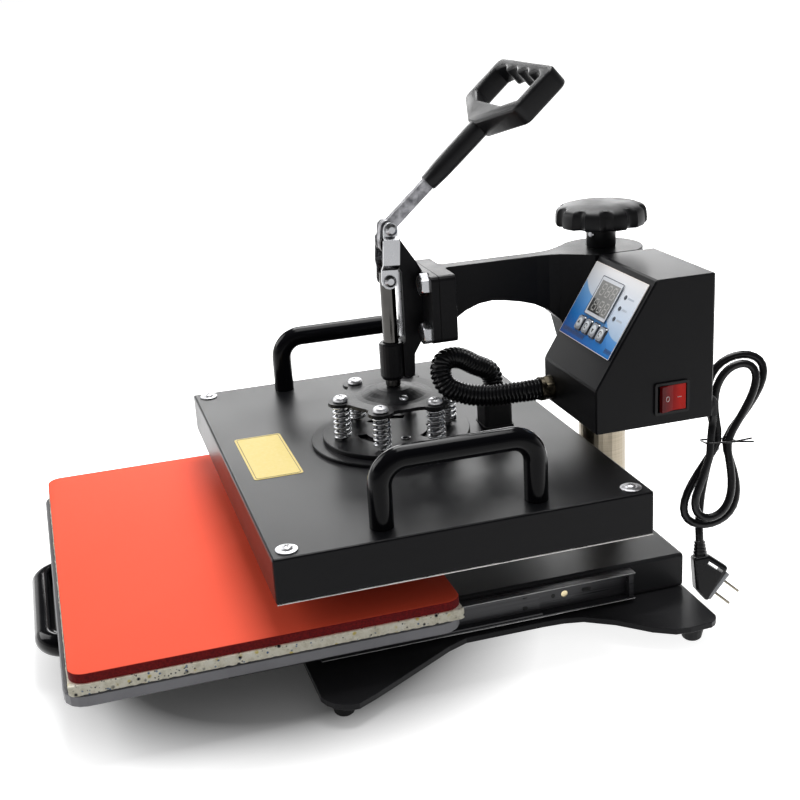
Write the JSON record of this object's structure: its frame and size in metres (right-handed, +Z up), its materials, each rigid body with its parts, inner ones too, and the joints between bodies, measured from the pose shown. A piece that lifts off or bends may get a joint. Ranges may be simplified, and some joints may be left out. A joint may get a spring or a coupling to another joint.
{
  "type": "heat press",
  "caption": "Swing-arm heat press with a toggle lever, spring-hung heated platen, pull-out padded lower platen, pressure knob, control box, hose and hanked power cord.",
  "frame": {"origin": "on the floor under the middle of the machine's footprint, drawer drawn out", "axes": "+Y from the drawer to the column, +X to the operator's right, +Z up"},
  "size_m": [0.4194, 0.6116, 0.4468],
  "materials": {
    "powder_coat_black": "fine textured black powder coat",
    "cast_black": "satin black paint on a casting",
    "rail_black": "black zinc-plated sheet steel, lightly oiled",
    "rubber_black": "matt black rubber",
    "grip_black": "moulded black plastic, satin gloss",
    "gloss_black": "glossy black enamel on tube",
    "bezel_black": "moulded glossy black plastic",
    "silicone_red": "matt orange-red silicone sponge",
    "felt_cream": "thick recycled felt with coloured flecks",
    "tray_grey": "satin grey paint on pressed steel",
    "aluminium_plate": "machined aluminium with a dark coated face",
    "zinc": "bright zinc-plated steel",
    "lever_steel": "grey as-cast steel",
    "brushed_steel": "ground steel post",
    "panel_blue": "printed blue and white membrane panel",
    "button_silver": "silver-painted plastic keys",
    "rocker_red": "translucent red plastic",
    "gland_metal": "nickel-plated brass gland",
    "bronze": "bronze bush"
  },
  "bodies": {
    "root": {"base_plate": "powder_coat_black", "foot_front_left": "rubber_black", "foot_rear_left": "rubber_black", "foot_front_right": "rubber_black", "foot_rear_right": "rubber_black", "drawer_housing": "powder_coat_black", "outer_rail_left": "rail_black", "outer_rail_right": "rail_black", "column": "brushed_steel"},
    "middle_rails": {"middle_rail_left": "rail_black", "middle_rail_right": "rail_black"},
    "drawer": {"inner_rail_left": "rail_black", "inner_rail_right": "rail_black", "drawer_frame": "powder_coat_black", "lower_platen": "tray_grey", "felt_pad": "felt_cream", "silicone_pad": "silicone_red", "drawer_handle": "gloss_black"},
    "height": {"pivot_bush": "bronze"},
    "arm": {"swing_arm": "cast_black", "toggle_bracket": "cast_black", "lever_pivot_bolt": "zinc", "guide_strip": "zinc", "control_case": "powder_coat_black", "control_panel": "panel_blue", "switch_bezel": "bezel_black", "hose_gland": "gland_metal", "wiring_hose": "rubber_black", "cord_gland": "rubber_black", "cord_hank": "rubber_black", "cord_tail": "rubber_black", "cord_tie": "rubber_black", "power_plug": "rubber_black"},
    "knob": {"pressure_knob": "grip_black", "pressure_screw": "zinc"},
    "plunger": {"plunger_rod": "zinc", "spider_plate": "cast_black", "spring_1": "zinc", "spring_2": "zinc", "spring_3": "zinc", "spring_4": "zinc", "spring_5": "zinc", "spring_6": "zinc"},
    "head": {"platen_cover": "powder_coat_black", "heat_platen": "aluminium_plate", "mounting_disc": "zinc", "cover_handle_left": "gloss_black", "cover_handle_right": "gloss_black", "hose_tower": "rubber_black"},
    "lever": {"lever_bar": "lever_steel", "lever_grip": "grip_black"},
    "links": {"link_strap_left": "zinc", "link_strap_right": "zinc", "toggle_pin": "zinc"},
    "rocker": {"rocker": "rocker_red"},
    "button_1": {"panel_button_1": "button_silver"},
    "button_2": {"panel_button_2": "button_silver"},
    "button_3": {"panel_button_3": "button_silver"},
    "button_4": {"panel_button_4": "button_silver"}
  },
  "joints": [
    {"name": "drawer_slide", "type": "slide", "parent": "root", "child": "drawer", "axis": [0, 1, 0], "range_m": [-0.05, 0.1515]},
    {"name": "rail_slide", "type": "slide", "parent": "root", "child": "middle_rails", "axis": [0, 1, 0], "range_m": [-0.025, 0.07575]},
    {"name": "arm_height", "type": "slide", "parent": "root", "child": "height", "axis": [0, 0, 1], "range_m": [0, 0.006]},
    {"name": "arm_swing", "type": "hinge", "parent": "height", "child": "arm", "pos_m": [0, 0.239, 0.286], "axis": [0, 0, 1], "range_deg": [0, 110]},
    {"name": "knob_turn", "type": "hinge", "parent": "arm", "child": "knob", "pos_m": [0, 0.239, 0.2863], "axis": [0, 0, 1], "range_deg": [0, 1080]},
    {"name": "lever_turn", "type": "hinge", "parent": "arm", "child": "lever", "pos_m": [0, 0.0467, 0.311], "axis": [1, 0, 0], "range_deg": [0, 180]},
    {"name": "press_stroke", "type": "slide", "parent": "arm", "child": "plunger", "axis": [0, 0, -1], "range_m": [0, 0.0257]},
    {"name": "link_turn", "type": "hinge", "parent": "lever", "child": "links", "pos_m": [0, 0.0467, 0.32385], "axis": [1, 0, 0], "range_deg": [-180, 0]},
    {"name": "head_float", "type": "slide", "parent": "plunger", "child": "head", "axis": [0, 0, 1], "range_m": [0, 0.008], "stiffness_N_per_m": 15000, "springref_m": -0.01, "deforming": ["spring_1", "spring_2", "spring_3", "spring_4", "spring_5", "spring_6"]},
    {"name": "rocker_tilt", "type": "hinge", "parent": "arm", "child": "rocker", "pos_m": [0.1311, 0.2368, 0.1884], "axis": [0, 0, 1], "range_deg": [-18, 0]},
    {"name": "button_1_press", "type": "slide", "parent": "arm", "child": "button_1", "axis": [0, 0.8456, -0.5338], "range_m": [0, 0.0006], "stiffness_N_per_m": 400, "springref_m": -0.0005},
    {"name": "button_2_press", "type": "slide", "parent": "arm", "child": "button_2", "axis": [0, 0.8456, -0.5338], "range_m": [0, 0.0006], "stiffness_N_per_m": 400, "springref_m": -0.0005},
    {"name": "button_3_press", "type": "slide", "parent": "arm", "child": "button_3", "axis": [0, 0.8456, -0.5338], "range_m": [0, 0.0006], "stiffness_N_per_m": 400, "springref_m": -0.0005},
    {"name": "button_4_press", "type": "slide", "parent": "arm", "child": "button_4", "axis": [0, 0.8456, -0.5338], "range_m": [0, 0.0006], "stiffness_N_per_m": 400, "springref_m": -0.0005}
  ],
  "couplings": [
    {"joint": "rail_slide", "follows": "drawer_slide", "ratio": 0.5},
    {"joint": "knob_turn", "follows": "arm_height", "rad_per_m": 3141.6},
    {"joint": "lever_turn", "follows": "press_stroke", "rad_per_m": 122.24},
    {"joint": "link_turn", "follows": "press_stroke", "rad_per_m": -122.24}
  ]
}
